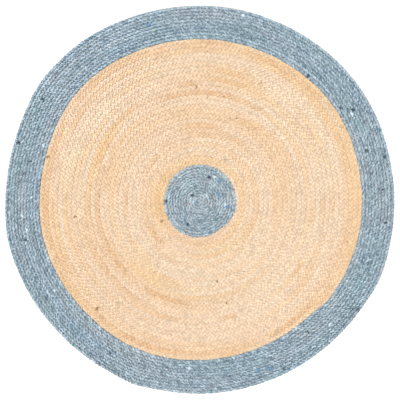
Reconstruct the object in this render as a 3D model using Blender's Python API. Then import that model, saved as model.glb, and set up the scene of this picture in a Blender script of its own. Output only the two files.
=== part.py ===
"""A round braided rug: three braids, joined end to end and laced side by side into one flat coil.

Metres, +Z up. The origin is under the middle of the rug, on the floor. The coil starts at its eye
and winds outward clockwise, seen from above. Each braid is one solid: its rows are raised ribs with
a groove where they are laced, and its underside is flat on the floor.

Places along the coil are counted in steps of 5 degrees, from the eye. A row is one turn of a braid.
"""
import math

import bmesh
import bpy

# Along the coil, in steps
TURN = 72
EYE_ANGLE = math.radians(57.5)           # direction of the coil's first step, anticlockwise from +X
CENTRE_SPLICE = 13 * TURN + 18           # middle of the splice from centre braid to field braid
FIELD_SPLICE = CENTRE_SPLICE + 27 * TURN + 2  # and from field braid to border braid
TAIL_POINT = FIELD_SPLICE + 10 * TURN + 45    # where the border braid ends, on the outer edge
CENTRE_SPLICE_LENGTH = 8                 # along a splice one braid thins while the next one grows
FIELD_SPLICE_LENGTH = 2
TAIL_LENGTH = 7

# Across the coil
CENTRE_ROW = 0.0130
FIELD_ROW = 0.0220
BORDER_ROW = 0.0146
GAP = 0.00035                            # between braids, so that each is its own solid

# Upward
CENTRE_CROWN = 0.0092
FIELD_CROWN = 0.0100
BORDER_CROWN = 0.0096
GROOVE_HEIGHT = 0.0055
EDGE_HEIGHT = 0.0034                     # on the outer edge, where the last row rounds off

# Circles of the coil that are laid off centre
#         radius, off centre, towards (degrees)
RIMS = {
    "eye": (0.0, 0.0100, 243.0),
    "centre rim": (0.1658, 0.0100, 243.0),
    "field rim": (0.7604, 0.0018, 209.0),
    "border rim": (0.9160, 0.0065, 71.0),
}

# How each rim swells and falls in as it goes round
#         rim, swells in a turn, height, direction of one swell (degrees)
WAVES = (
    ("centre rim", 2, 0.0032, 82.0),
    ("field rim", 3, 0.0032, 15.0),
    ("field rim", 4, 0.0020, 44.0),
    ("field rim", 5, 0.0017, 49.0),
    ("field rim", 6, 0.0016, 18.0),
    ("field rim", 7, 0.0017, 38.0),
    ("border rim", 3, 0.0015, 1.0),
    ("border rim", 4, 0.0011, 44.0),
    ("border rim", 5, 0.0019, 53.0),
    ("border rim", 6, 0.0015, 23.0),
    ("border rim", 7, 0.0017, 37.0),
)

# Single lumps of the outer edge, the first one just before the tail
#         direction (degrees), half width (degrees), height
LUMPS = (
    (145.0, 6.0, 0.0050),
    (191.0, 6.0, 0.0055),
    (250.0, 4.0, 0.0080),
    (336.0, 7.0, 0.0070),
)

# The braids, from the eye outward
#         node, first step, last step, steps to grow, steps to thin, steps between points, crown,
#         colour (sRGB)
BRAIDS = (
    ("centre_braid", 0, CENTRE_SPLICE + CENTRE_SPLICE_LENGTH // 2, 0, CENTRE_SPLICE_LENGTH, 2,
     CENTRE_CROWN, (0.62, 0.69, 0.72)),
    ("field_braid", CENTRE_SPLICE - CENTRE_SPLICE_LENGTH // 2, FIELD_SPLICE + FIELD_SPLICE_LENGTH // 2,
     CENTRE_SPLICE_LENGTH, FIELD_SPLICE_LENGTH, 1,
     FIELD_CROWN, (0.94, 0.83, 0.69)),
    ("border_braid", FIELD_SPLICE - FIELD_SPLICE_LENGTH // 2, TAIL_POINT,
     FIELD_SPLICE_LENGTH, TAIL_LENGTH, 1,
     BORDER_CROWN, (0.60, 0.67, 0.71)),
)
ROUGHNESS = 0.9
WELD = 0.00002


def mix(a, b, share):
    """A value `share` of the way from a to b."""
    return a + (b - a) * share


def groove_radius(step):
    """Radius, on an even coil, of the groove on the inner side of the row that passes a step."""
    stretches = (
        (TURN, 0.0),
        (CENTRE_SPLICE + TURN / 2, CENTRE_ROW),
        (FIELD_SPLICE + TURN / 2, FIELD_ROW),
        (TAIL_POINT + TURN, BORDER_ROW),
    )
    radius = 0.0
    start = 0
    for end, row in stretches:
        radius += row * max(0, min(step, end) - start) / TURN
        start = end
    return radius


def rib_height(share, crown):
    """Height of a rib at a share of the way across its row."""
    return mix(GROOVE_HEIGHT, crown, 1.0 - abs(2.0 * share - 1.0))


def edge_line(step, first, last, growing, thinning, crown):
    """Radius and height of a braid's edge: the inner one of its row here, the outer one a turn before.

    The line's first turn is the braid's inner rim, which cuts across the row where the braid grows.
    The turn after the braid's last step is its outer rim, which cuts across where the braid thins.
    """
    radius = groove_radius(step)
    height = GROOVE_HEIGHT
    if growing and step <= first + TURN:
        share = min(1.0, (step - first) / growing)
        radius = mix(groove_radius(step + TURN), radius, share) + GAP / 2
        height = rib_height(share, crown)
    if step >= last:
        share = min(1.0, (last + TURN - step) / thinning)
        radius = mix(groove_radius(step - TURN), radius, share)
        if last == TAIL_POINT:
            height = EDGE_HEIGHT
        else:
            radius -= GAP / 2
            height = rib_height(share, crown)
    return radius, height


def rim_offset(rim, angle):
    """How far, in X and Y, a rim lies from its even circle in a direction."""
    off_centre, towards = RIMS[rim][1:]
    swell = 0.0
    for owner, count, height, peak in WAVES:
        if owner == rim:
            swell += height * math.cos(count * (angle - math.radians(peak)))
    if rim == "border rim":
        for direction, half_width, height in LUMPS:
            away = math.remainder(angle - math.radians(direction), 2 * math.pi)
            swell += height * math.exp(-(away / math.radians(half_width)) ** 2)
    x = off_centre * math.cos(math.radians(towards)) + swell * math.cos(angle)
    y = off_centre * math.sin(math.radians(towards)) + swell * math.sin(angle)
    return x, y


def coil_point(step, radius):
    """X and Y of a point of the uneven coil, from its step and its radius on an even one."""
    angle = EYE_ANGLE - step * 2 * math.pi / TURN
    names = list(RIMS)
    outer = 1
    while outer < len(names) - 1 and radius > RIMS[names[outer]][0]:
        outer += 1
    low = RIMS[names[outer - 1]][0]
    high = RIMS[names[outer]][0]
    share = (radius - low) / (high - low)
    inside = rim_offset(names[outer - 1], angle)
    outside = rim_offset(names[outer], angle)
    x = radius * math.cos(angle) + mix(inside[0], outside[0], share)
    y = radius * math.sin(angle) + mix(inside[1], outside[1], share)
    return x, y


def box_middle():
    """X and Y of the middle of the rug's outline, which the origin lies under."""
    rim = []
    border = BRAIDS[-1]
    for step in range(TAIL_POINT, TAIL_POINT + TURN):
        radius = edge_line(step, *border[1:5], BORDER_CROWN)[0]
        rim.append(coil_point(step, radius))
    across = [point[0] for point in rim]
    along = [point[1] for point in rim]
    return (min(across) + max(across)) / 2, (min(along) + max(along)) / 2


def yarn(name, srgb):
    """A matt yarn material from an sRGB colour."""
    made = bpy.data.materials.new(name)
    made.use_nodes = True
    shader = made.node_tree.nodes["Principled BSDF"]
    linear = [((part + 0.055) / 1.055) ** 2.4 for part in srgb]
    shader.inputs["Base Color"].default_value = (*linear, 1.0)
    shader.inputs["Roughness"].default_value = ROUGHNESS
    shader.inputs["Metallic"].default_value = 0.0
    made.diffuse_color = (*linear, 1.0)
    return made


def wind_ribbon(mesh, first, last, growing, thinning, stride, crown):
    """Wind a flat ribbon, three points across from edge to crown to edge, along the coil."""
    segments = (last - first) // stride
    bmesh.ops.create_grid(mesh, x_segments=segments, y_segments=2, size=1.0)
    for vert in mesh.verts:
        step = first + stride * round((vert.co.x + 1.0) / 2.0 * segments)
        inner = edge_line(step, first, last, growing, thinning, crown)
        outer = edge_line(step + TURN, first, last, growing, thinning, crown)
        fullness = min(1.0, (outer[0] - inner[0]) / CENTRE_ROW)
        top = (mix(inner[0], outer[0], 0.5), mix(GROOVE_HEIGHT, crown, fullness))
        radius, height = (inner, top, outer)[round(vert.co.y) + 1]
        vert.co = (*coil_point(step, radius), height)


def crease_grooves(mesh):
    """Shade the ribs round and the grooves, rims and floor edges sharp."""
    for edge in mesh.edges:
        edge.smooth = max(vert.co.z for vert in edge.verts) > GROOVE_HEIGHT + WELD


def braid(node, first, last, growing, thinning, stride, crown, srgb):
    """One braid as a closed solid: its laced rows above, side walls, and a flat underside."""
    mesh = bmesh.new()
    wind_ribbon(mesh, first, last, growing, thinning, stride, crown)
    bmesh.ops.remove_doubles(mesh, verts=mesh.verts, dist=WELD)
    rims = [edge for edge in mesh.edges if edge.is_boundary]
    walls = bmesh.ops.extrude_edge_only(mesh, edges=rims)["geom"]
    for vert in [piece for piece in walls if isinstance(piece, bmesh.types.BMVert)]:
        vert.co.z = 0.0
    floor_edges = [edge for edge in mesh.edges if edge.is_boundary]
    bmesh.ops.triangle_fill(mesh, edges=floor_edges, use_beauty=True)
    bmesh.ops.recalc_face_normals(mesh, faces=mesh.faces)
    data = bpy.data.meshes.new(node)
    crease_grooves(mesh)
    mesh.to_mesh(data)
    mesh.free()
    for face in data.polygons:
        face.use_smooth = True
    data.materials.append(yarn(node + "_yarn", srgb))
    return bpy.data.objects.new(node, data)


def main():
    for old in list(bpy.data.objects):
        bpy.data.objects.remove(old, do_unlink=True)
    collection = bpy.data.collections.new("braided_rug")
    bpy.context.scene.collection.children.link(collection)
    rug = bpy.data.objects.new("braided_rug", None)
    middle = box_middle()
    rug.location = (-middle[0], -middle[1], 0.0)
    collection.objects.link(rug)
    for row in BRAIDS:
        made = braid(*row)
        made.parent = rug
        collection.objects.link(made)


main()
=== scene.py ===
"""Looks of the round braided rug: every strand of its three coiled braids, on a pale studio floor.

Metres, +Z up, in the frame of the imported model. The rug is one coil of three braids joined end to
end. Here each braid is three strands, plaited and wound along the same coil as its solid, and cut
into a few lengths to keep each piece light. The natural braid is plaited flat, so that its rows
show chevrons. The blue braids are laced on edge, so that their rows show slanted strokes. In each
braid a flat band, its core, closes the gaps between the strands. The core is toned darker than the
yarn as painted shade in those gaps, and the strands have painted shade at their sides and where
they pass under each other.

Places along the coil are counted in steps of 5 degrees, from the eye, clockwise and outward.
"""
import math

import bpy
import numpy as np
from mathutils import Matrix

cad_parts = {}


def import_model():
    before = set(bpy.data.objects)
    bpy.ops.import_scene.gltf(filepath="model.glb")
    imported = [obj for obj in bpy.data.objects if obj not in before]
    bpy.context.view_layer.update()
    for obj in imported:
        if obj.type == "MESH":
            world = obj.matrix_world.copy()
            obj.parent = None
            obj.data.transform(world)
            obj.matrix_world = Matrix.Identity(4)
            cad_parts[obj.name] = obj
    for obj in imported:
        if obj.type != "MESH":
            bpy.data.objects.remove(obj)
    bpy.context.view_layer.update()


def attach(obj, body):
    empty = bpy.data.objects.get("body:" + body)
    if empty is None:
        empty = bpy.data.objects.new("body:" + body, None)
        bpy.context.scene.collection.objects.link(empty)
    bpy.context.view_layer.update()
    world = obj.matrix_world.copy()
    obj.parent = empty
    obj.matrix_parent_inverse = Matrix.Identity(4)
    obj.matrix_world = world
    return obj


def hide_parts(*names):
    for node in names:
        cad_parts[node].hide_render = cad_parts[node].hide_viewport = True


# ---------------------------------------------------------------- the coil, as in the solids
TURN = 72
EYE_ANGLE = math.radians(57.5)
CENTRE_SPLICE = 13 * TURN + 18
FIELD_SPLICE = CENTRE_SPLICE + 27 * TURN + 2
TAIL_POINT = FIELD_SPLICE + 10 * TURN + 45
CENTRE_SPLICE_LENGTH = 8
FIELD_SPLICE_LENGTH = 2
TAIL_LENGTH = 7

CENTRE_ROW = 0.0130
FIELD_ROW = 0.0220
BORDER_ROW = 0.0146

# Circles of the coil that are laid off centre
#         radius, off centre, towards (degrees)
RIMS = {
    "eye": (0.0, 0.0100, 243.0),
    "centre rim": (0.1658, 0.0100, 243.0),
    "field rim": (0.7604, 0.0018, 209.0),
    "border rim": (0.9160, 0.0065, 71.0),
}
#         rim, swells in a turn, height, direction of one swell (degrees)
WAVES = (
    ("centre rim", 2, 0.0032, 82.0),
    ("field rim", 3, 0.0032, 15.0),
    ("field rim", 4, 0.0020, 44.0),
    ("field rim", 5, 0.0017, 49.0),
    ("field rim", 6, 0.0016, 18.0),
    ("field rim", 7, 0.0017, 38.0),
    ("border rim", 3, 0.0015, 1.0),
    ("border rim", 4, 0.0011, 44.0),
    ("border rim", 5, 0.0019, 53.0),
    ("border rim", 6, 0.0015, 23.0),
    ("border rim", 7, 0.0017, 37.0),
)
#         direction (degrees), half width (degrees), height
LUMPS = (
    (145.0, 6.0, 0.0050),
    (191.0, 6.0, 0.0055),
    (250.0, 4.0, 0.0080),
    (336.0, 7.0, 0.0070),
)

# ---------------------------------------------------------------- the plaits
# Each strand of a braid follows one path, a third of a pitch behind the next strand. Along a pitch
# it swings sideways and rises, partly once and partly twice, the rise a little late (rise_lag, in
# radians). It is thicker at the braid's edges (edge_swell, a share). Its yarn has painted shade
# where it goes under the others (low_shade) and at its sides (side_shade), also where it runs
# straight (straight_shade, a share of the side shade).
FLAT_PLAIT = {
    "pitch": 0.0582,
    "row": FIELD_ROW,
    "swing_once": 0.0070,
    "swing_twice": 0.0,
    "rise_once": 0.0,
    "rise_twice": 0.0025,
    "rise_lag": 0.50,
    "strand_width": 0.0108,
    "strand_thickness": 0.0052,
    "edge_swell": 0.28,
    "middle_height": 0.0049,
    "core_high": 0.0052,
    "low_shade": 0.75,
    "side_shade": 0.32,
    "straight_shade": 0.12,
}
EDGE_PLAIT = {
    "pitch": 0.0516,
    "row": BORDER_ROW,
    "swing_once": 0.0008,
    "swing_twice": 0.0034,
    "rise_once": 0.0029,
    "rise_twice": 0.0003,
    "rise_lag": 0.0,
    "strand_width": 0.0090,
    "strand_thickness": 0.0042,
    "edge_swell": 0.10,
    "middle_height": 0.0048,
    "core_high": 0.0050,
    "low_shade": 0.60,
    "side_shade": 0.60,
    "straight_shade": 0.60,
}
SQUARENESS = 0.10          # share of a third swing, which keeps strands longer at the braid's edges
STRANDS = 3
RINGS_A_PITCH = 12
STRAND_SIDES = 5
SIDE_SHADE_SHARES = (0.0, 0.75, 1.0, 1.0, 0.75)  # painted side shade at each corner, from the top round
SUNK = 0.0001              # how far a strand is pressed flat on the floor
EASED = {                  # how far outward a braid's inner and outer rims lie beside another braid
    "centre": (0.0, 0.0032),
    "field": (0.0037, -0.0024),
    "border": (-0.0020, 0.0),
}
EASING = 4.0               # steps over which a row comes back to its own place
OUTWARD = 0.0005           # a short way outward, which gives the direction across a row
FINE = 16                  # places to the step, where a braid's length is measured
END_HEIGHT = 0.45          # height of a braid where it has thinned to nothing, as a share
AT_ONCE = 1e-9             # steps over which a braid grows that starts at full size
CORE_LOW = 0.0022          # underside of a core
CORE_STRIDE = 2            # in steps
STRAND_SHIFT = 7.31        # between the strands' places on the yarn's map
BAKE_GAP = 0.25            # between rows of the bake map, as a share of a side's height
CLOUD_RINGS = 64           # rings of patches, more than reach the outer edge
BLUE_SHADOW = (1.25, 1.0, 0.90)  # powers of the painted shade in red, green and blue
WARM_SHADOW = (0.70, 1.0, 1.35)
SHAPE_SEED = (100, 10)     # what a braid's seed and a strand's number are multiplied by, for shapes
COLOUR_SEED = (1000, 50)   # and for colours
MARK_SEED = 20             # added to a braid's seed for its marks

# How uneven the plait is, by smooth chance along it, for a whole braid or for each strand
#       spacing, most (radians of phase, a share of a size, or metres)
UNEVEN = {
    "braid phase": (0.25, 1.00),
    "strand phase": (0.06, 0.35),
    "strand width": (0.031, 0.08),
    "strand thickness": (0.043, 0.07),
    "braid side": (0.09, 0.0004),
    "strand side": (0.027, 0.0003),
    "braid rise": (0.16, 0.0002),
    "strand rise": (0.035, 0.0002),
    "rim": (0.03, 0.0012),
    "mark": (0.008, 0.5),
}

# Steps where each braid starts and ends, grows and thins, and the solid and the yarn of the frame
# that it stands for. Its dye multiplies its tones, which are named below, in red, green and blue,
# and its shadow holds the powers of its painted shade in them.
BRAIDS = {
    "centre": {"first": 0, "last": CENTRE_SPLICE + CENTRE_SPLICE_LENGTH // 2,
               "growing": 0, "thinning": CENTRE_SPLICE_LENGTH, "plait": EDGE_PLAIT,
               "plait_pieces": 3, "core_pieces": 1,
               "solid": "centre_braid", "yarn": "blue_centre_yarn", "seed": 11,
               "dye": (1.44, 1.18, 1.085), "shadow": BLUE_SHADOW},
    "field": {"first": CENTRE_SPLICE - CENTRE_SPLICE_LENGTH // 2,
              "last": FIELD_SPLICE + FIELD_SPLICE_LENGTH // 2,
              "growing": CENTRE_SPLICE_LENGTH, "thinning": FIELD_SPLICE_LENGTH,
              "plait": FLAT_PLAIT, "plait_pieces": 10, "core_pieces": 4,
              "solid": "field_braid", "yarn": "natural_jute_yarn", "seed": 23,
              "dye": (1.05, 1.10, 1.11), "shadow": WARM_SHADOW},
    "border": {"first": FIELD_SPLICE - FIELD_SPLICE_LENGTH // 2, "last": TAIL_POINT,
               "growing": FIELD_SPLICE_LENGTH, "thinning": TAIL_LENGTH, "plait": EDGE_PLAIT,
               "plait_pieces": 6, "core_pieces": 2,
               "solid": "border_braid", "yarn": "blue_border_yarn", "seed": 37,
               "dye": (1.13, 1.025, 1.005), "shadow": BLUE_SHADOW},
}

# ---------------------------------------------------------------- the studio and the photo's view
PHOTO_WIDTH = 1.88         # metres across the picture, at PHOTO_HEIGHT
PHOTO_HEIGHT = 0.006
LENS = 85.0
SENSOR = 36.0
FLOOR_HALF = 12.0
FLOOR_DROP = 0.0003        # below the rug
FLOOR_WHITE = (0.93, 0.93, 0.93, 1.0)
FLOOR_ROUGHNESS = 0.9
SKY_WHITE = (1.0, 1.0, 1.0, 1.0)
SKY_STRENGTH = 0.85
KEY_STRENGTH = 2.1
KEY_SOFTNESS = math.radians(36.0)
KEY_TILT = (math.radians(-6.0), math.radians(-22.0), 0.0)


def mix(a, b, share):
    """A value `share` of the way from a to b."""
    return a + (b - a) * share


def linear(srgb):
    """Linear colour of an sRGB one, from 0 to 1."""
    return np.where(np.array(srgb) <= 0.04045, np.array(srgb) / 12.92,
                    ((np.array(srgb) + 0.055) / 1.055) ** 2.4)


def opaque(srgb):
    """Linear colour of an sRGB one, with the alpha that a shader takes."""
    return (*linear(srgb), 1.0)


def strand_seed(braid, strand, scales):
    """Seed of a strand's own chance, which its other seeds count on from."""
    return braid["seed"] * scales[0] + strand * scales[1]


# ---------------------------------------------------------------- along and across the coil
def groove_radius(step):
    """Radius, on an even coil, of the groove on the inner side of the row that passes each step."""
    stretches = (
        (TURN, 0.0),
        (CENTRE_SPLICE + TURN / 2, CENTRE_ROW),
        (FIELD_SPLICE + TURN / 2, FIELD_ROW),
        (TAIL_POINT + TURN, BORDER_ROW),
    )
    radius = np.zeros_like(step, dtype=float)
    start = 0.0
    for end, row in stretches:
        radius += row * np.clip(np.minimum(step, end) - start, 0.0, None) / TURN
        start = end
    return radius


def row_edges(step, braid):
    """Inner and outer radius of a braid's row at each step: it grows from one, thins to the other."""
    inner = groove_radius(step)
    outer = groove_radius(step + TURN)
    grown = np.clip((step - braid["first"]) / max(braid["growing"], AT_ONCE), 0.0, 1.0)
    left = np.clip((braid["last"] - step) / braid["thinning"], 0.0, 1.0)
    return mix(outer, inner, grown), mix(inner, outer, left)


def rim_offset(rim, angle):
    """How far, in X and Y, a rim lies from its even circle in each direction."""
    off_centre, towards = RIMS[rim][1:]
    swell = np.zeros_like(angle)
    for owner, count, height, peak in WAVES:
        if owner == rim:
            swell += height * np.cos(count * (angle - math.radians(peak)))
    if rim == "border rim":
        for direction, half_width, height in LUMPS:
            away = np.remainder(angle - math.radians(direction) + math.pi, 2 * math.pi) - math.pi
            swell += height * np.exp(-((away / math.radians(half_width)) ** 2))
    x = off_centre * math.cos(math.radians(towards)) + swell * np.cos(angle)
    y = off_centre * math.sin(math.radians(towards)) + swell * np.sin(angle)
    return np.stack([x, y], -1)


def uneven_points(step, radius):
    """X and Y of points of the uneven coil about its own middle, from steps and even radii."""
    angle = EYE_ANGLE - step * 2 * math.pi / TURN
    radii = np.array([rim[0] for rim in RIMS.values()])
    offsets = np.stack([rim_offset(rim, angle) for rim in RIMS])
    inside = np.clip(np.searchsorted(radii, radius) - 1, 0, len(radii) - 2)
    share = (radius - radii[inside]) / (radii[inside + 1] - radii[inside])
    place = np.arange(len(angle))
    offset = mix(offsets[inside, place], offsets[inside + 1, place], share[:, None])
    even = radius[:, None] * np.stack([np.cos(angle), np.sin(angle)], -1)
    return even + offset


def outline_middle():
    """X and Y of the middle of the rug's outline, which the origin lies under."""
    step = np.arange(TAIL_POINT - TURN, TAIL_POINT)
    rim = uneven_points(step, row_edges(step, BRAIDS["border"])[1])
    return (rim.min(axis=0) + rim.max(axis=0)) / 2


def coil_points(step, radius):
    """X and Y of points of the uneven coil in the frame, from their steps and even radii."""
    return uneven_points(step, radius) - outline_middle()


def cloud(place, rows_wide, patches_a_turn, seed):
    """Smooth chance over the rug, from -1 to 1, in patches drawn out along the rows."""
    chance = np.random.default_rng(seed).uniform(-1.0, 1.0, (CLOUD_RINGS, patches_a_turn))
    radius = np.linalg.norm(place, axis=1) / (rows_wide * FIELD_ROW)
    angle = (np.arctan2(place[:, 1], place[:, 0]) / (2 * math.pi) % 1.0) * patches_a_turn
    ring, patch = radius.astype(int), angle.astype(int)
    outward, onward = radius - ring, angle - patch
    outward, onward = (x * x * (3.0 - 2.0 * x) for x in (outward, onward))
    here, there = patch % patches_a_turn, (patch + 1) % patches_a_turn
    return mix(mix(chance[ring, here], chance[ring, there], onward),
               mix(chance[ring + 1, here], chance[ring + 1, there], onward), outward)


def wander(along, spacing, seed):
    """Smooth chance along a length, from -1 to 1, with a new value at every spacing."""
    knots = np.random.default_rng(seed).uniform(-1.0, 1.0, int(along.max() / spacing) + 3)
    place = along / spacing
    first = place.astype(int)
    share = place - first
    return mix(knots[first], knots[first + 1], share * share * (3.0 - 2.0 * share))


def uneven(what, along, seed):
    """How far something strays from its size or place along a braid."""
    spacing, most = UNEVEN[what]
    return most * wander(along, spacing, seed)


# ---------------------------------------------------------------- strands
def braid_rings(braid):
    """Places of a braid's rings, a twelfth of a pitch apart: metres along it, and steps."""
    step = np.linspace(braid["first"], braid["last"], FINE * (braid["last"] - braid["first"]) + 1)
    inner, outer = row_edges(step, braid)
    middle = coil_points(step, (inner + outer) / 2)
    run = np.concatenate([[0.0], np.cumsum(np.linalg.norm(np.diff(middle, axis=0), axis=1))])
    spacing = braid["plait"]["pitch"] / RINGS_A_PITCH
    along = (np.arange(int(run[-1] / spacing)) + 0.5) * spacing
    return along, np.interp(along, run, step)


def strand_path(plait, phase):
    """A strand's place in its braid, sideways and upward, and how far it slants, at each phase."""
    rate = 2 * math.pi / plait["pitch"]
    once = (np.sin(phase) + SQUARENESS * np.sin(3 * phase)) / (1 - SQUARENESS)
    once_slope = (np.cos(phase) + 3 * SQUARENESS * np.cos(3 * phase)) / (1 - SQUARENESS)
    side = plait["swing_once"] * once + plait["swing_twice"] * np.sin(2 * phase)
    rise = plait["rise_once"] * np.sin(phase) - plait["rise_twice"] * np.sin(2 * phase - plait["rise_lag"])
    slant = rate * (plait["swing_once"] * once_slope + plait["swing_twice"] * 2 * np.cos(2 * phase))
    return side, rise, slant


def eased_row(name, braid, step, sway):
    """Inner and outer radius of a braid's row, eased where its rim lies beside another braid."""
    inner, outer = row_edges(step, braid)
    inward, outward = EASED[name]
    if inward:
        inner = inner + (inward + sway) * np.clip((braid["first"] + TURN - step) / EASING, 0, 1)
    if outward:
        outer = outer + (outward + sway) * np.clip((step - braid["last"] + TURN) / EASING, 0, 1)
    return inner, outer


def strand_points(name, braid, along, step, strand):
    """Points of a strand's skin, ring by ring, and how steeply it crosses its braid at each ring."""
    plait = braid["plait"]
    braid_seed = braid["seed"]
    seed = strand_seed(braid, strand, SHAPE_SEED)
    inner, outer = eased_row(name, braid, step, uneven("rim", along, seed + 5))
    middle = coil_points(step, (inner + outer) / 2)
    across = coil_points(step, (inner + outer) / 2 + OUTWARD) - middle
    across /= np.linalg.norm(across, axis=1)[:, None]
    width_share = (outer - inner) / plait["row"]
    height_share = mix(END_HEIGHT, 1.0, np.clip((outer - inner) / CENTRE_ROW, 0.0, 1.0))

    phase = (2 * math.pi * (along / plait["pitch"] + strand / STRANDS)
             + uneven("braid phase", along, braid_seed) + uneven("strand phase", along, seed))
    side, rise, slant = strand_path(plait, phase)
    half_width = plait["strand_width"] / 2 * np.sqrt(1 + slant ** 2)
    half_width = half_width * (1 + uneven("strand width", along, seed + 1))
    half_thickness = plait["strand_thickness"] / 2 * (1 + uneven("strand thickness", along, seed + 2))
    half_thickness *= 1 + plait["edge_swell"] * (side / np.abs(side).max()) ** 2
    side = side + uneven("braid side", along, braid_seed + 1) + uneven("strand side", along, seed + 3)
    rise = rise + uneven("braid rise", along, braid_seed + 2) + uneven("strand rise", along, seed + 4)

    turn = math.pi / 2 - 2 * math.pi * np.arange(STRAND_SIDES) / STRAND_SIDES
    out = (side[:, None] + half_width[:, None] * np.cos(turn)) * width_share[:, None]
    up = (plait["middle_height"] + rise[:, None] + half_thickness[:, None] * np.sin(turn)) \
        * height_share[:, None]
    points = np.empty((len(along), STRAND_SIDES, 3))
    points[:, :, :2] = middle[:, None] + across[:, None] * out[:, :, None]
    points[:, :, 2] = np.clip(up - SUNK, 0.0, None)
    return points, np.abs(slant) / np.abs(slant).max()


# ---------------------------------------------------------------- colours of the yarn
# sRGB, from 0 to 1
CREAM = (0.940, 0.850, 0.765)
HONEY = (0.940, 0.785, 0.590)
BLUSH = (0.935, 0.802, 0.706)
GOLD = (0.870, 0.665, 0.445)
NUB_BROWN = (0.50, 0.33, 0.17)

SKY = (0.590, 0.672, 0.718)
DEEP_SKY = (0.510, 0.620, 0.690)
MIST = (0.645, 0.690, 0.710)
SEA = (0.550, 0.655, 0.680)
FROST = (0.83, 0.905, 0.945)
SLATE = (0.28, 0.375, 0.455)
TEAL = (0.27, 0.56, 0.56)
COBALT = (0.37, 0.54, 0.72)

KNOT = (0.17, 0.22, 0.27)
TUFT_WHITE = (0.90, 0.95, 0.99)
TUFT_TEAL = (0.22, 0.52, 0.53)
TUFT_COBALT = (0.41, 0.60, 0.78)

# Tones of the cores, darker than their yarn: painted shade in the gaps between the strands
CORE_SHADE_TONES = {
    "centre": (0.40, 0.48, 0.53),
    "field": (0.90, 0.79, 0.64),
    "border": (0.40, 0.48, 0.54),
}

# Linear, with alpha
SLIVER_BROWN = (0.52, 0.37, 0.22, 1.0)
PALE_FIBRE = (0.95, 0.83, 0.66, 1.0)
DARK_FIBRE = (0.50, 0.35, 0.21, 1.0)
DARK_BLUE_FIBRE = (0.10, 0.15, 0.21, 1.0)

# Golden lengths of the natural braid, each in one row
#    radius of the row, from and to which direction (degrees, anticlockwise), strength
GOLDEN_LENGTHS = (
    (0.722, 150, 206, 0.95),
    (0.722, 206, 244, 0.55),
    (0.722, 108, 142, 0.75),
    (0.742, 110, 150, 0.45),
    (0.725, 78, 100, 0.70),
    (0.728, 40, 75, 0.85),
    (0.712, -62, -42, 0.95),
    (0.735, -42, -20, 0.45),
    (0.722, -118, -70, 0.70),
    (0.512, 56, 110, 0.90),
    (0.478, 14, 44, 0.60),
    (0.530, 126, 142, 0.80),
    (0.508, 142, 160, 0.70),
    (0.490, 160, 182, 0.85),
    (0.485, 182, 232, 0.90),
    (0.483, 238, 262, 0.60),
    (0.476, 276, 296, 0.50),
    (0.551, 92, 101, 1.00),
    (0.721, 102, 107, 1.00),
    (0.566, -79, -72, 1.00),
    (0.554, -39, -31, 0.80),
    (0.562, 240, 262, 0.50),
    (0.327, 56, 104, 0.50),
    (0.305, 112, 126, 0.60),
    (0.283, 132, 160, 0.45),
    (0.262, 208, 228, 0.75),
    (0.232, 20, 115, 0.35),
    (0.420, 48, 70, 0.35),
    (0.364, 262, 310, 0.35),
)
GOLDEN_FADE = 4.0          # degrees over which such a length starts and ends

# Where the natural braid is more honey coloured: in a ring round the centre, and at its outer rim
HONEY_RING_RADIUS = 0.30
HONEY_RING_REACH = 0.06
HONEY_RING_SHARE = 0.12
HONEY_RIM_START = 0.672
HONEY_RIM_REACH = 0.03
HONEY_RIM_SHARE = 0.40

# Shares of tones in the natural yarn, before what varies them
HONEY_SHARE = 0.24
BLUSH_SHARE = 0.30
GOLDEN_SHARE = 0.48

# What varies tones and light by smooth chance: along a whole braid or along each strand, with a new
# value every so many metres, or in patches of the rug, so many rows wide and so many a turn
#    kind, spacing or rows, patches a turn, seed, strength
HONEY_LAYERS = (
    ("braid", 3.0, 0, 5, 0.30),
    ("patches", 3.0, 9, 6, 0.36),
    ("braid", 0.25, 0, 12, 0.50),
    ("strand", 0.12, 0, 0, 0.15),
)
BLUSH_LAYERS = (
    ("patches", 4.0, 7, 8, 0.40),
    ("strand", 0.17, 0, 1, 0.15),
)
GOLDEN_LAYERS = (
    ("strand", 0.03, 0, 6, 0.20),
    ("strand", 0.15, 0, 8, 0.30),
)
JUTE_LIGHT = (
    ("strand", 0.9, 0, 5, 0.03),
    ("strand", 0.014, 0, 3, 0.10),
    ("strand", 0.04, 0, 4, 0.04),
    ("strand", 0.006, 0, 10, 0.15),
)
BLUE_LIGHT = (
    ("strand", 0.9, 0, 5, 0.12),
    ("strand", 0.25, 0, 6, 0.14),
    ("strand", 0.024, 0, 3, 0.16),
    ("strand", 0.05, 0, 4, 0.18),
    ("braid", 0.5, 0, 8, 0.12),
    ("braid", 0.03, 0, 10, 0.09),
    ("patches", 1.0, 40, 9, 0.10),
)
#    tone, share, layers
BLUE_TONES = (
    (DEEP_SKY, 0.35, (("patches", 2.0, 20, 5, 0.7), ("strand", 0.06, 0, 0, 0.5))),
    (MIST, 0.30, (("patches", 2.0, 16, 6, 0.8), ("strand", 0.08, 0, 1, 0.5))),
    (SEA, 0.20, (("patches", 2.0, 24, 7, 0.9), ("strand", 0.10, 0, 2, 0.5))),
)

# Stray golden spots of the natural braid, where a smooth chance passes a level
#    kind, spacing, seed, level, strength
STRAY_GOLD = (
    ("braid", 0.28, 9, 0.58, 1.1),
    ("strand", 0.10, 7, 0.60, 0.7),
)

# How much paler a blue braid is on one side of the rug, and in which direction (degrees)
PALE_SIDES = {"centre": (0.0, 0.0), "border": (0.04, 85.0)}

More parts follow.
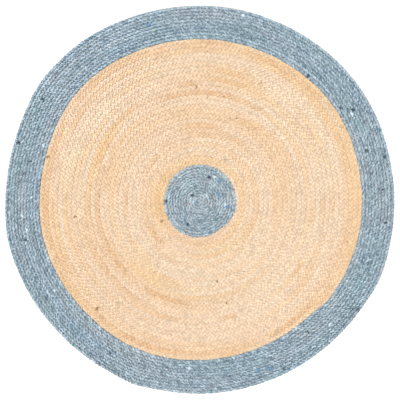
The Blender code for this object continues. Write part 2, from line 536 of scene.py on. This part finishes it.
# Marks that stand out in the yarn, nubs of bark, knots and tufts, which chance places on the braids
#      colour, reach, how many on each braid
MARKS = (
    (NUB_BROWN, 0.0055, {"field": 12}),
    (KNOT, 0.0075, {"centre": 4, "border": 16}),
    (TUFT_WHITE, 0.0070, {"centre": 3, "border": 9}),
    (TUFT_TEAL, 0.0075, {"centre": 1, "border": 4}),
    (TUFT_COBALT, 0.0080, {"centre": 3, "border": 4}),
)
MARK_COVER = 0.85          # how much of the yarn's own pattern a mark hides


def mark_spots(name, braid, step):
    """The tone, reach and places of each kind of mark on a braid, by chance along its middle."""
    chance = np.random.default_rng(braid["seed"] + MARK_SEED)
    spots = []
    for tone, reach, counts in MARKS:
        at = step[chance.integers(len(step), size=counts.get(name, 0))]
        inner, outer = row_edges(at, braid)
        spots.append((tone, reach, coil_points(at, (inner + outer) / 2)))
    return spots


def golden(step, braid):
    """How golden the natural braid is at each step: 0 for plain yarn, 1 for the strongest lengths."""
    inner, outer = row_edges(step, braid)
    angle = np.degrees(EYE_ANGLE) - step * 360 / TURN
    share = np.zeros_like(step)
    for radius, start, end, strength in GOLDEN_LENGTHS:
        middle, half = (start + end) / 2, (end - start) / 2
        away = np.abs(np.remainder(angle - middle + 180.0, 360.0) - 180.0)
        ends = np.clip((half - away) / GOLDEN_FADE + 0.5, 0.0, 1.0)
        share += strength * ends * ((inner <= radius) & (radius < outer))
    return share


def varied(share, layers, at):
    """A share with its layers of smooth chance, at each ring of a strand.

    `at` holds the seeds of the braid and of the strand, and the rings' metres along it and places.
    """
    for kind, spacing, patches, seed, strength in layers:
        if kind == "patches":
            chance = cloud(at["place"], spacing, patches, at["braid"] + seed)
        else:
            chance = wander(at["along"], spacing, at[kind] + seed)
        share = share + strength * chance
    return share


def jute_tones(at, gold):
    """The natural yarn's base tone, the tones laid over it with their shares, and its light."""
    radius = np.linalg.norm(at["place"], axis=1)
    in_ring = np.exp(-(((radius - HONEY_RING_RADIUS) / HONEY_RING_REACH) ** 2))
    at_rim = np.clip((radius - HONEY_RIM_START) / HONEY_RIM_REACH, 0.0, 1.0)
    honey = HONEY_SHARE + HONEY_RING_SHARE * in_ring + HONEY_RIM_SHARE * at_rim
    golden_share = gold * varied(GOLDEN_SHARE, GOLDEN_LAYERS, at)
    for kind, spacing, seed, level, strength in STRAY_GOLD:
        stray = wander(at["along"], spacing, at[kind] + seed)
        golden_share = golden_share + strength * np.clip(stray - level, 0.0, 1.0)
    tones = (
        (HONEY, varied(honey, HONEY_LAYERS, at)),
        (BLUSH, varied(BLUSH_SHARE, BLUSH_LAYERS, at)),
        (GOLD, golden_share),
    )
    return CREAM, tones, varied(1.0, JUTE_LIGHT, at)


def blue_tones(name, at):
    """A blue yarn's base tone, the tones laid over it with their shares, and its light."""
    paler, towards = PALE_SIDES[name]
    direction = np.arctan2(at["place"][:, 1], at["place"][:, 0])
    light = 1 + paler * np.cos(direction - math.radians(towards))
    tones = [(tone, varied(share, layers, at)) for tone, share, layers in BLUE_TONES]
    return SKY, tones, varied(light, BLUE_LIGHT, at)


def strand_colour(name, braid, along, step, points, strand, marks):
    """A strand's linear colour at each ring, and in a fourth column how much of it is a mark."""
    seed = strand_seed(braid, strand, COLOUR_SEED)
    place = points[:, 0, :2]
    at = {"braid": braid["seed"], "strand": seed, "along": along, "place": place}
    if name == "field":
        base, tones, light = jute_tones(at, golden(step, braid))
    else:
        base, tones, light = blue_tones(name, at)
    colour = np.broadcast_to(linear(base), (len(along), 3)).copy() * braid["dye"]
    for tone, share in tones:
        colour = mix(colour, linear(tone) * braid["dye"], np.clip(share, 0.0, 1.0)[:, None])
    colour *= light[:, None]
    # painted shade where the strand runs low, under the others, in the braid's shadow powers
    height = points[:, 0, 2]
    painted_dip_shade = mix(braid["plait"]["low_shade"], 1.0, ((height - height.min()) / np.ptp(height)) ** 2)
    colour *= painted_dip_shade[:, None] ** braid["shadow"]
    marked = np.zeros(len(along))
    ragged = 1 + uneven("mark", along, seed + 9)
    for tone, reach, spots in marks:
        for spot in spots:
            away = np.linalg.norm(place - spot, axis=1) * ragged
            share = np.exp(-((away / reach) ** 4))
            colour = mix(colour, linear(tone), share[:, None])
            marked = np.maximum(marked, MARK_COVER * share)
    return np.column_stack([np.clip(colour, 0.0, 1.0), marked])


# ---------------------------------------------------------------- meshes
def tube_faces(rings, sides):
    """Quads of a tube's skin, corner by corner."""
    first = np.arange(rings - 1)[:, None] * sides
    side = np.arange(sides)
    after = (side + 1) % sides
    here, there = first, first + sides
    return np.stack([here + side, here + after, there + after, there + side], -1).reshape(-1, 4)


def make_mesh(name, points, quads, uvs, colours, shade_roots):
    """A smooth mesh of quads, with maps that follow the strands, and each point's tint and painted shade.
    """
    mesh = bpy.data.meshes.new(name)
    mesh.vertices.add(len(points))
    mesh.vertices.foreach_set("co", points.astype(np.float32).ravel())
    mesh.loops.add(quads.size)
    mesh.loops.foreach_set("vertex_index", quads.astype(np.int32).ravel())
    mesh.polygons.add(len(quads))
    mesh.polygons.foreach_set("loop_start", np.arange(0, quads.size, 4, dtype=np.int32))
    mesh.polygons.foreach_set("use_smooth", np.ones(len(quads), bool))
    for layer, places in uvs.items():
        mesh.uv_layers.new(name=layer, do_init=False).uv.foreach_set(
            "vector", places.astype(np.float32).ravel())
    tint = mesh.color_attributes.new("tint", "FLOAT_COLOR", "POINT")
    tint.data.foreach_set("color", colours.astype(np.float32).ravel())
    shade_root = mesh.attributes.new("shade_root", "FLOAT", "POINT")
    shade_root.data.foreach_set("value", shade_roots.astype(np.float32).ravel())
    mesh.update(calc_edges=True)
    mesh.validate()
    return mesh


def quad_corners(here, there, low, high):
    """The four corners of each quad on a map, from where it starts and ends along it and across."""
    here, there, low, high = np.broadcast_arrays(here, there, low, high)
    return np.stack([np.stack([here, low], -1), np.stack([here, high], -1),
                     np.stack([there, high], -1), np.stack([there, low], -1)], 2).reshape(-1, 2)


def quad_uv(along, sides, part, shift=0.0):
    """Corners of a tube's quads on a map in metres: along the tube, and round it."""
    low = part * np.arange(sides)
    return quad_corners(along[:-1, None] + shift, along[1:, None] + shift, low, low + part)


def bake_uv(segments, sides, first, total):
    """Corners of a tube's quads on the map for baking: its sides stacked, its length cut in rows.

    The tube's segments take the places from `first` on, of `total` places on the map.
    """
    stack = sides + BAKE_GAP
    per_row = math.ceil(math.sqrt(total * stack))
    rows = math.ceil(total / per_row)
    place = first + np.arange(segments)[:, None]
    here = place % per_row / per_row
    low = (place // per_row * stack + np.arange(sides)) / (rows * stack)
    return quad_corners(here, here + 1 / per_row, low, low + 1 / (rows * stack))


def add_piece(mesh, braid, material):
    """A mesh as a piece that rides with the rug and stands for its braid's solid."""
    mesh.materials.append(material)
    piece = bpy.data.objects.new(mesh.name, mesh)
    bpy.context.collection.objects.link(piece)
    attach(piece, "root")
    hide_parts(braid["solid"])
    return piece


def plaited_strands(name, braid, along, step):
    """Each strand's points, colours and shares of painted side shade, ring by ring.

    A share of painted shade is kept as its root, which the material squares: so the shade fades in a
    curve across a face.
    """
    marks = mark_spots(name, braid, step)
    strands = []
    for strand in range(STRANDS):
        points, crossing = strand_points(name, braid, along, step, strand)
        colour = strand_colour(name, braid, along, step, points, strand, marks)
        side_shade_share = mix(braid["plait"]["straight_shade"], 1.0, crossing)
        strands.append((points, np.repeat(colour[:, None], STRAND_SIDES, axis=1),
                        np.sqrt(side_shade_share[:, None] * SIDE_SHADE_SHARES)))
    return strands


def plait_pieces(name, braid, material):
    """The braid as a few lengths of three plaited strands, each length one piece."""
    plait = braid["plait"]
    along, step = braid_rings(braid)
    strands = plaited_strands(name, braid, along, step)
    part = (plait["strand_width"] + plait["strand_thickness"]) * math.pi / 2 / STRAND_SIDES
    cuts = np.linspace(0, len(along) - 1, braid["plait_pieces"] + 1).round().astype(int)
    for number, (start, end) in enumerate(zip(cuts[:-1], cuts[1:]), 1):
        points, quads, places, bakes, colours, shade_roots = [], [], [], [], [], []
        rings = end - start + 1
        for strand, (skin, colour, shade_root) in enumerate(strands):
            points.append(skin[start:end + 1].reshape(-1, 3))
            quads.append(tube_faces(rings, STRAND_SIDES) + strand * rings * STRAND_SIDES)
            places.append(quad_uv(along[start:end + 1], STRAND_SIDES, part, strand * STRAND_SHIFT))
            bakes.append(bake_uv(rings - 1, STRAND_SIDES, strand * (rings - 1),
                                STRANDS * (rings - 1)))
            colours.append(colour[start:end + 1].reshape(-1, 4))
            shade_roots.append(shade_root[start:end + 1].ravel())
        mesh = make_mesh(f"{name}_plait_{number}", np.concatenate(points), np.concatenate(quads),
                         {"Yarn": np.concatenate(places), "OFBake": np.concatenate(bakes)},
                         np.concatenate(colours), np.concatenate(shade_roots))
        piece = add_piece(mesh, braid, material)


def core_pieces(name, braid, material):
    """A flat band wound with a braid, which closes the gaps between its strands, in a few lengths."""
    step = np.linspace(braid["first"], braid["last"],
                       round((braid["last"] - braid["first"]) / CORE_STRIDE) + 1)
    inner, outer = (coil_points(step, radius) for radius in row_edges(step, braid))
    paces = np.linalg.norm(np.diff((inner + outer) / 2, axis=0), axis=1)
    run = np.concatenate([[0.0], np.cumsum(paces)])
    high = braid["plait"]["core_high"]
    band = np.empty((len(step), 4, 3))
    for corner, (edge, height) in enumerate(((inner, CORE_LOW), (inner, high), (outer, high),
                                             (outer, CORE_LOW))):
        band[:, corner, :2] = edge
        band[:, corner, 2] = height
    cuts = np.searchsorted(run, np.linspace(0.0, run[-1], braid["core_pieces"] + 1))
    for number, (start, end) in enumerate(zip(cuts[:-1], cuts[1:]), 1):
        rings = end - start + 1
        mesh = make_mesh(f"{name}_core_{number}", band[start:end + 1].reshape(-1, 3),
                         tube_faces(rings, 4),
                         {"Yarn": quad_uv(run[start:end + 1], 4, braid["plait"]["row"]),
                          "OFBake": bake_uv(rings - 1, 4, 0, rings - 1)},
                         # the core's tone, painted shade in the gaps
                         np.tile([*linear(CORE_SHADE_TONES[name]), 0.0], (rings * 4, 1)),
                         np.zeros(rings * 4))
        mesh.shade_flat()
        piece = add_piece(mesh, braid, material)


# ---------------------------------------------------------------- materials
BUMP_DEPTH = 0.0010
PLY_RELIEF = 1.6           # of the plies in the bump, where that of the fibres is 1
FIBRE_LEVELS = (0.3, 0.7)  # of the fibres' pattern, between which the roughness changes
ROUGHNESS = (0.95, 0.78)
SPECULAR = 0.25
SHEEN = 0.10
SHEEN_ROUGHNESS = 0.5
JUTE_TWIST = 0.30          # how far round the strand a pattern winds to a metre along it, in metres
BLUE_TWIST = 0.35
SHIFT_WAY = (1.0, 1.7, 3.1)  # in which direction a pattern is shifted

# Patterns of each yarn, all of them noise over its map
#    grains to the metre along the yarn and round it, detail, roughness, shift
JUTE_PATTERNS = {
    "fibres": ((38.0, 1300.0), 3.0, 0.6, 0.0),
    "slivers": ((40.0, 420.0), 2.0, 0.5, 11.0),
    "nubs": ((130.0, 190.0), 1.0, 0.5, 23.0),
}
BLUE_PATTERNS = {
    "fibres": ((60.0, 1200.0), 3.0, 0.6, 0.0),
    "pale tufts": ((42.0, 170.0), 2.0, 0.55, 7.0),
    "dark tufts": ((46.0, 180.0), 2.0, 0.55, 19.0),
    "teal tufts": ((50.0, 120.0), 1.0, 0.5, 31.0),
    "bright tufts": ((50.0, 120.0), 1.0, 0.5, 43.0),
    "flecks": ((120.0, 190.0), 1.0, 0.5, 53.0),
    "plies": ((25.0, 480.0), 2.0, 0.5, 61.0),
}

# Tones laid over a yarn one after another, each as its pattern goes from one level to the next
#    pattern, its levels, share of the tone at each level, tone
JUTE_OVERLAYS = (
    ("slivers", (0.32, 0.68), (0.30, 0.0), SLIVER_BROWN),
    ("fibres", (0.45, 0.70), (0.0, 0.40), PALE_FIBRE),
    ("fibres", (0.30, 0.47), (0.45, 0.0), DARK_FIBRE),
    ("nubs", (0.68, 0.76), (0.0, 0.8), opaque(NUB_BROWN)),
)
BLUE_OVERLAYS = (
    ("pale tufts", (0.50, 0.64), (0.0, 0.72), opaque(FROST)),
    ("dark tufts", (0.53, 0.66), (0.0, 0.70), opaque(SLATE)),
    ("flecks", (0.57, 0.68), (0.0, 0.62), opaque(SLATE)),
    ("flecks", (0.43, 0.32), (0.0, 0.58), opaque(FROST)),
    ("teal tufts", (0.71, 0.76), (0.0, 0.8), opaque(TEAL)),
    ("bright tufts", (0.71, 0.76), (0.0, 0.8), opaque(COBALT)),
)
BLUE_LINES = (
    ("fibres", (0.30, 0.50), (0.30, 0.0), DARK_BLUE_FIBRE),
)


class Nodes:
    """A short way to write a material's nodes."""

    def __init__(self, name):
        self.material = bpy.data.materials.new(name)
        self.material.use_nodes = True
        self.tree = self.material.node_tree
        self.shader = self.tree.nodes["Principled BSDF"]

    def add(self, kind, inputs=(), **settings):
        """A node with its settings, and with a link or a value in each of its inputs."""
        node = self.tree.nodes.new(kind)
        for key, value in settings.items():
            setattr(node, key, value)
        for socket, value in dict(inputs).items():
            if isinstance(value, bpy.types.NodeSocket):
                self.tree.links.new(value, node.inputs[socket])
            else:
                node.inputs[socket].default_value = value
        return node

    def noise(self, vector, grains, detail, rough, shift):
        """Noise over the yarn's map, with its own number of grains to the metre each way."""
        placed = self.add("ShaderNodeVectorMath",
                          {0: vector, 1: (*grains, 1.0), 2: [shift * way for way in SHIFT_WAY]},
                          operation="MULTIPLY_ADD")
        made = self.add("ShaderNodeTexNoise", {"Vector": placed.outputs[0], "Scale": 1.0,
                                               "Detail": detail, "Roughness": rough})
        return made.outputs["Fac"]

    def ramp(self, value, levels, results):
        """A smooth way from one result to the other as a value goes from one level to the next."""
        return self.add("ShaderNodeMapRange",
                        {"Value": value, "From Min": levels[0], "From Max": levels[1],
                         "To Min": results[0], "To Max": results[1]},
                        interpolation_type="SMOOTHSTEP").outputs["Result"]

    def blend(self, share, first, second, how="MIX"):
        """The second colour laid over the first one by a share."""
        made = self.add("ShaderNodeMix", {}, data_type="RGBA", blend_type=how)
        for socket, value in (("Factor_Float", share), ("A_Color", first), ("B_Color", second)):
            target = next(s for s in made.inputs if s.identifier == socket)
            if isinstance(value, bpy.types.NodeSocket):
                self.tree.links.new(value, target)
            else:
                target.default_value = value
        return next(s for s in made.outputs if s.identifier == "Result_Color")


def yarn_map(nodes, twist):
    """The yarn's own map, slanted so that what runs along it winds round the strand."""
    place = nodes.add("ShaderNodeUVMap", uv_map="Yarn").outputs["UV"]
    parts = nodes.add("ShaderNodeSeparateXYZ", {0: place})
    wound = nodes.add("ShaderNodeMath", {0: parts.outputs[0], 1: twist, 2: parts.outputs[1]},
                      operation="MULTIPLY_ADD")
    return nodes.add("ShaderNodeCombineXYZ", {0: parts.outputs[0], 1: wound.outputs[0]}).outputs[0]


def yarn_tint(nodes, braid):
    """The tint of each point, with painted shade down the sides of a strand, and how much of it is a mark.
    """
    yarn = nodes.add("ShaderNodeAttribute", attribute_name="tint").outputs
    shade_root = nodes.add("ShaderNodeAttribute", attribute_name="shade_root").outputs["Fac"]
    share = nodes.add("ShaderNodeMath", {0: shade_root, 1: shade_root}, operation="MULTIPLY").outputs[0]
    deepest_painted_shade = braid["plait"]["side_shade"] ** np.array(braid["shadow"])
    # painted shade: the tint multiplied by the deepest side shade, mixed in by the squared share
    dark = nodes.blend(1.0, yarn["Color"], (*deepest_painted_shade, 1.0), "MULTIPLY")
    return nodes.blend(share, yarn["Color"], dark), yarn["Alpha"]


def finish_yarn(nodes, colour, fibres, plies):
    """Wires colour, bump and roughness of a matt yarn into its shader."""
    height = nodes.add("ShaderNodeMath", {0: plies, 1: PLY_RELIEF, 2: fibres},
                       operation="MULTIPLY_ADD")
    bump = nodes.add("ShaderNodeBump", {"Height": height.outputs[0], "Strength": 1.0,
                                        "Distance": BUMP_DEPTH})
    rough = nodes.ramp(fibres, FIBRE_LEVELS, ROUGHNESS)
    nodes.tree.links.new(colour, nodes.shader.inputs["Base Color"])
    nodes.tree.links.new(bump.outputs["Normal"], nodes.shader.inputs["Normal"])
    nodes.tree.links.new(rough, nodes.shader.inputs["Roughness"])
    nodes.shader.inputs["Specular IOR Level"].default_value = SPECULAR
    nodes.shader.inputs["Sheen Weight"].default_value = SHEEN
    nodes.shader.inputs["Sheen Roughness"].default_value = SHEEN_ROUGHNESS
    return nodes.material


def yarn_patterns(nodes, place, patterns):
    """The noise of each of a yarn's patterns, by name."""
    return {name: nodes.noise(place, *numbers) for name, numbers in patterns.items()}


def lay_over(nodes, patterns, overlays, colour):
    """A colour with tones laid over it, one after another."""
    for pattern, levels, shares, tone in overlays:
        colour = nodes.blend(nodes.ramp(patterns[pattern], levels, shares), colour, tone)
    return colour


def jute_material(braid):
    """Natural jute: long pale fibres, slivers of darker ones, and a few brown nubs of bark."""
    nodes = Nodes("natural_jute")
    place = yarn_map(nodes, JUTE_TWIST)
    tint, mark = yarn_tint(nodes, braid)
    patterns = yarn_patterns(nodes, place, JUTE_PATTERNS)
    colour = lay_over(nodes, patterns, JUTE_OVERLAYS, tint)
    colour = nodes.blend(mark, colour, tint)
    return finish_yarn(nodes, colour, patterns["fibres"], patterns["slivers"])


def blue_material(name, braid):
    """Heathered blue yarn: pale and dark tufts, and here and there a teal or a bright blue one."""
    nodes = Nodes(name)
    place = yarn_map(nodes, BLUE_TWIST)
    tint, mark = yarn_tint(nodes, braid)
    patterns = yarn_patterns(nodes, place, BLUE_PATTERNS)
    colour = lay_over(nodes, patterns, BLUE_OVERLAYS, tint)
    colour = nodes.blend(mark, colour, tint)
    colour = lay_over(nodes, patterns, BLUE_LINES, colour)
    return finish_yarn(nodes, colour, patterns["fibres"], patterns["plies"])


# ---------------------------------------------------------------- studio
def studio():
    """Plain white floor, even light, a soft key from the side, and the view over the coil's middle."""
    scene = bpy.context.scene
    scene.view_settings.view_transform = "Standard"

    mesh = bpy.data.meshes.new("studio_floor")
    corners = [(x * FLOOR_HALF, y * FLOOR_HALF, 0) for x, y in ((-1, -1), (1, -1), (1, 1), (-1, 1))]
    mesh.from_pydata(corners, [], [(0, 1, 2, 3)])
    floor_nodes = Nodes("studio_floor")
    floor_nodes.shader.inputs["Base Color"].default_value = FLOOR_WHITE
    floor_nodes.shader.inputs["Roughness"].default_value = FLOOR_ROUGHNESS
    mesh.materials.append(floor_nodes.material)
    floor = bpy.data.objects.new("studio_floor", mesh)
    floor.location.z = -FLOOR_DROP
    scene.collection.objects.link(floor)

    world = bpy.data.worlds.new("studio")
    world.use_nodes = True
    world.node_tree.nodes["Background"].inputs["Color"].default_value = SKY_WHITE
    world.node_tree.nodes["Background"].inputs["Strength"].default_value = SKY_STRENGTH
    scene.world = world

    key = bpy.data.objects.new("key_light", bpy.data.lights.new("key_light", "SUN"))
    key.data.energy = KEY_STRENGTH
    key.data.angle = KEY_SOFTNESS
    key.rotation_euler = KEY_TILT
    scene.collection.objects.link(key)

    camera = bpy.data.objects.new("camera", bpy.data.cameras.new("camera"))
    camera.data.lens = LENS
    camera.data.sensor_width = SENSOR
    coil_middle = -outline_middle()
    camera.location = (*coil_middle, PHOTO_HEIGHT + PHOTO_WIDTH * LENS / SENSOR)
    scene.collection.objects.link(camera)
    scene.camera = camera


def main():
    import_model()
    studio()
    materials = {
        "centre": blue_material("blue_centre_heather", BRAIDS["centre"]),
        "field": jute_material(BRAIDS["field"]),
        "border": blue_material("blue_border_heather", BRAIDS["border"]),
    }
    for name, braid in BRAIDS.items():
        plait_pieces(name, braid, materials[name])
        core_pieces(name, braid, materials[name])


main()
